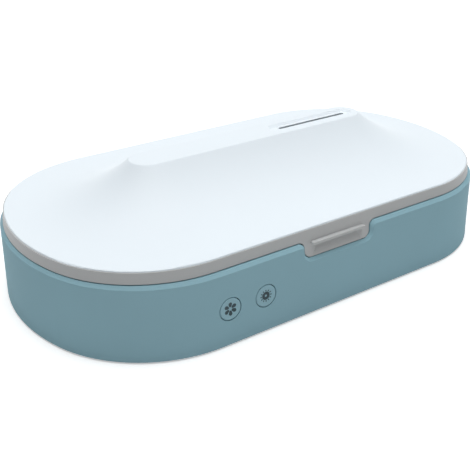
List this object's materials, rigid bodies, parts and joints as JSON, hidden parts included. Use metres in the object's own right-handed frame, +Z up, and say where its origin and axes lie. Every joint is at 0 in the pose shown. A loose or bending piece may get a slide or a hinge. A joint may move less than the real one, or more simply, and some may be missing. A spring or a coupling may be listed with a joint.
{
  "type": "UV sanitizer box for phones",
  "caption": "Rounded box with a mirrored chamber and UV lamps, closed by a hinged lid with a raised ridge, a scent slot and a finger tab. Two round buttons sit on the front.",
  "frame": {"origin": "on the table, under the middle of the box", "axes": "+X along the box to the right, +Y to the back where the hinge is, +Z up; the buttons and the finger tab face -Y"},
  "size_m": [0.2224, 0.1264, 0.0541],
  "materials": {
    "blue_plastic": "satin moulded plastic, grey blue",
    "blue_plastic_dull": "fine matt moulded plastic, grey blue",
    "rubber": "soft matt rubber",
    "screw_steel": "zinc plated",
    "mirror_coat": "metallised mirror coat",
    "magnet": "nickel plated",
    "quartz": "clear quartz glass",
    "lamp_cap": "matt white ceramic",
    "clear_plastic": "clear moulded plastic",
    "white_plastic": "satin white moulded plastic",
    "grey_plastic": "satin mid grey moulded plastic",
    "felt": "pressed dark grey felt",
    "button_plastic": "satin moulded plastic with a printed mark",
    "black_plastic": "matt black plastic",
    "circuit_board": "green solder mask",
    "socket_steel": "bright plated sheet"
  },
  "bodies": {
    "base": {"base_shell": "blue_plastic", "base_plate": "blue_plastic_dull", "rubber_feet": "rubber", "base_screws": "screw_steel", "chamber_tray": "mirror_coat", "base_magnets": "magnet", "lower_uv_lamp": "quartz", "lower_lamp_holders": "lamp_cap", "phone_rests": "clear_plastic", "hinge_pins": "screw_steel", "switch_bodies": "black_plastic", "button_board": "circuit_board", "lid_sensor": "black_plastic", "main_board": "circuit_board", "board_screws": "screw_steel", "usb_c_socket": "socket_steel", "lamp_transformer": "black_plastic", "capacitors": "socket_steel", "control_chip": "black_plastic", "lamp_plugs": "white_plastic"},
    "lid": {"lid_shell": "white_plastic", "lid_frame": "grey_plastic", "light_seal": "rubber", "lid_magnets": "magnet", "lid_screws": "screw_steel", "lid_reflector": "mirror_coat", "lid_uv_lamp": "quartz", "lid_lamp_holders": "lamp_cap", "scent_cup": "black_plastic", "scent_pad": "felt"},
    "flower_key": {"flower_button": "button_plastic", "flower_switch_plunger": "black_plastic"},
    "sun_key": {"sun_button": "button_plastic", "sun_switch_plunger": "black_plastic"}
  },
  "joints": [
    {"name": "lid_hinge", "type": "hinge", "parent": "base", "child": "lid", "pos_m": [0, 0.0608, 0.0293], "axis": [-1, 0, 0], "range_deg": [0, 100]},
    {"name": "flower_press", "type": "slide", "parent": "base", "child": "flower_key", "axis": [0, 0.9992, -0.0407], "range_m": [0, 0.0006], "stiffness_N_per_m": 600},
    {"name": "sun_press", "type": "slide", "parent": "base", "child": "sun_key", "axis": [0, 0.9992, -0.0407], "range_m": [0, 0.0006], "stiffness_N_per_m": 600}
  ]
}
